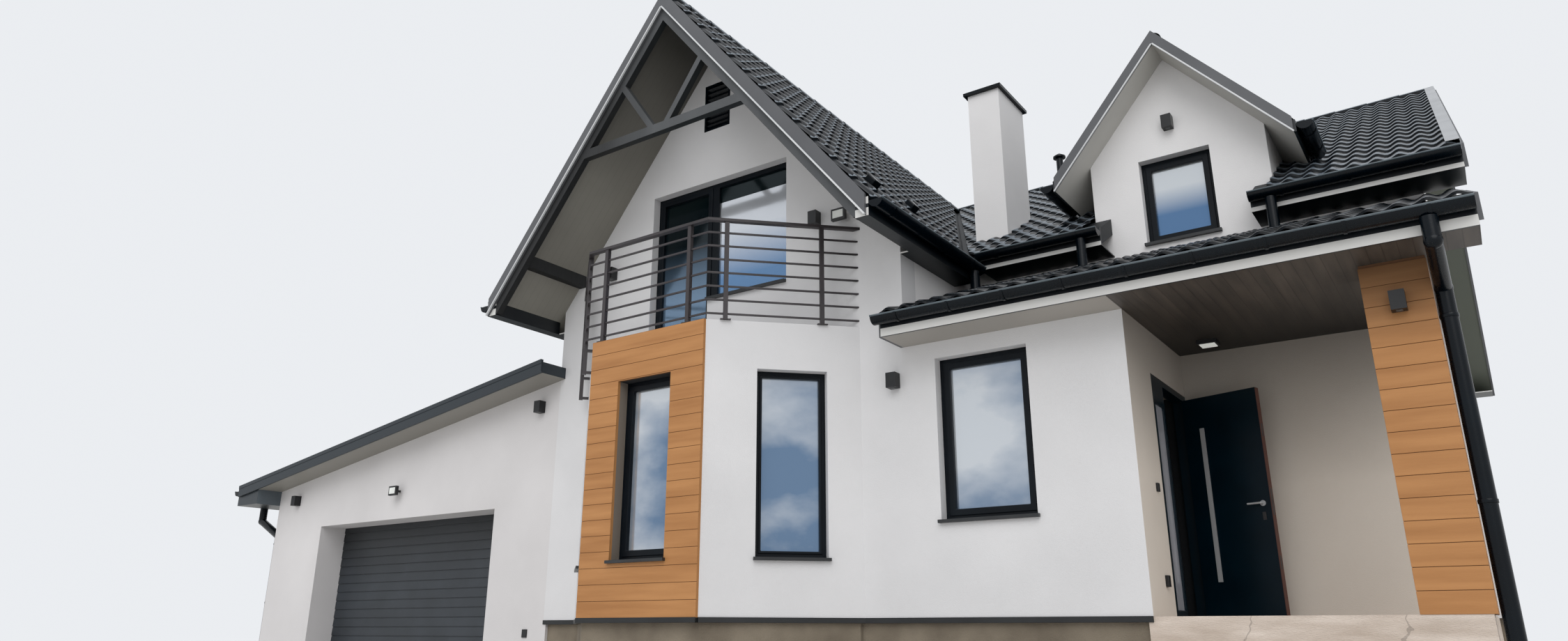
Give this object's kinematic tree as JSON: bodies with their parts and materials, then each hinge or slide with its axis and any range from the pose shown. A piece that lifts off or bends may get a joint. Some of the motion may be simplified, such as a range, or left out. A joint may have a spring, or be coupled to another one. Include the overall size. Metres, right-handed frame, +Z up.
{
  "type": "detached house",
  "caption": "Two-storey detached house with steep tiled roofs, a boarded bay under a balcony, a dormer, a lean-to garage and a corner porch with a hinged front door.",
  "frame": {"origin": "middle of the plan on the ground, below the whole house", "axes": "+X to the right along the front, seen from the street; +Y to the back; +Z up"},
  "size_m": [16.97, 13.522, 8.305],
  "materials": {
    "render": "fine rough wall render",
    "chimney_render": "fine rough wall render",
    "boards": "oiled overlapping boards",
    "tiles": "glossy black pressed roof tiles",
    "garage_sheet": "satin folded sheet",
    "verge": "satin folded sheet",
    "soffit": "satin ribbed panels",
    "gutter": "glossy coated steel",
    "truss": "dark stain",
    "frames": "satin dark grey",
    "sills": "satin coated steel",
    "glass": "clear",
    "door": "gloss blue black",
    "fittings": "brushed",
    "railing": "satin dark brown",
    "plinth": "rough bare render",
    "landing": "rough beige render",
    "concrete": "screed",
    "garage_door": "satin ribbed panels",
    "lamp": "satin black"
  },
  "bodies": {
    "house": {"garage_front_wall": "render", "garage_rear_walls": "render", "wing_front_wall": "render", "left_wall": "render", "right_wall": "render", "back_wall": "render", "front_wall": "render", "porch_side_wall": "render", "porch_back_wall": "render", "upper_front_wall": "render", "bay_wall": "render", "balcony_slab": "render", "porch_column": "render", "porch_gable": "render", "chimney": "chimney_render", "bay_cladding": "boards", "column_cladding": "boards", "main_roof": "tiles", "wing_roof": "tiles", "lower_roof": "tiles", "dormer_roof": "tiles", "garage_roof": "garage_sheet", "barge_boards": "verge", "eave_boards": "soffit", "porch_ceiling": "soffit", "gutters": "gutter", "downpipes": "gutter", "chimney_cap": "gutter", "vents": "gutter", "gable_truss": "truss", "window_frames": "frames", "balcony_door": "frames", "window_sills": "sills", "window_panes": "glass", "entrance_frame": "door", "balcony_railing": "railing", "plinth": "plinth", "porch_landing": "landing", "ground_floor": "concrete", "upper_floor": "concrete", "garage_floor": "concrete", "garage_door": "garage_door", "lamps": "lamp"},
    "door": {"front_door": "door", "door_fittings": "fittings"}
  },
  "joints": [
    {"name": "front_door_hinge", "type": "hinge", "parent": "house", "child": "door", "pos_m": [5.804, -3.727, 0.85], "axis": [0, 0, 1], "range_deg": [-72, 12]}
  ]
}
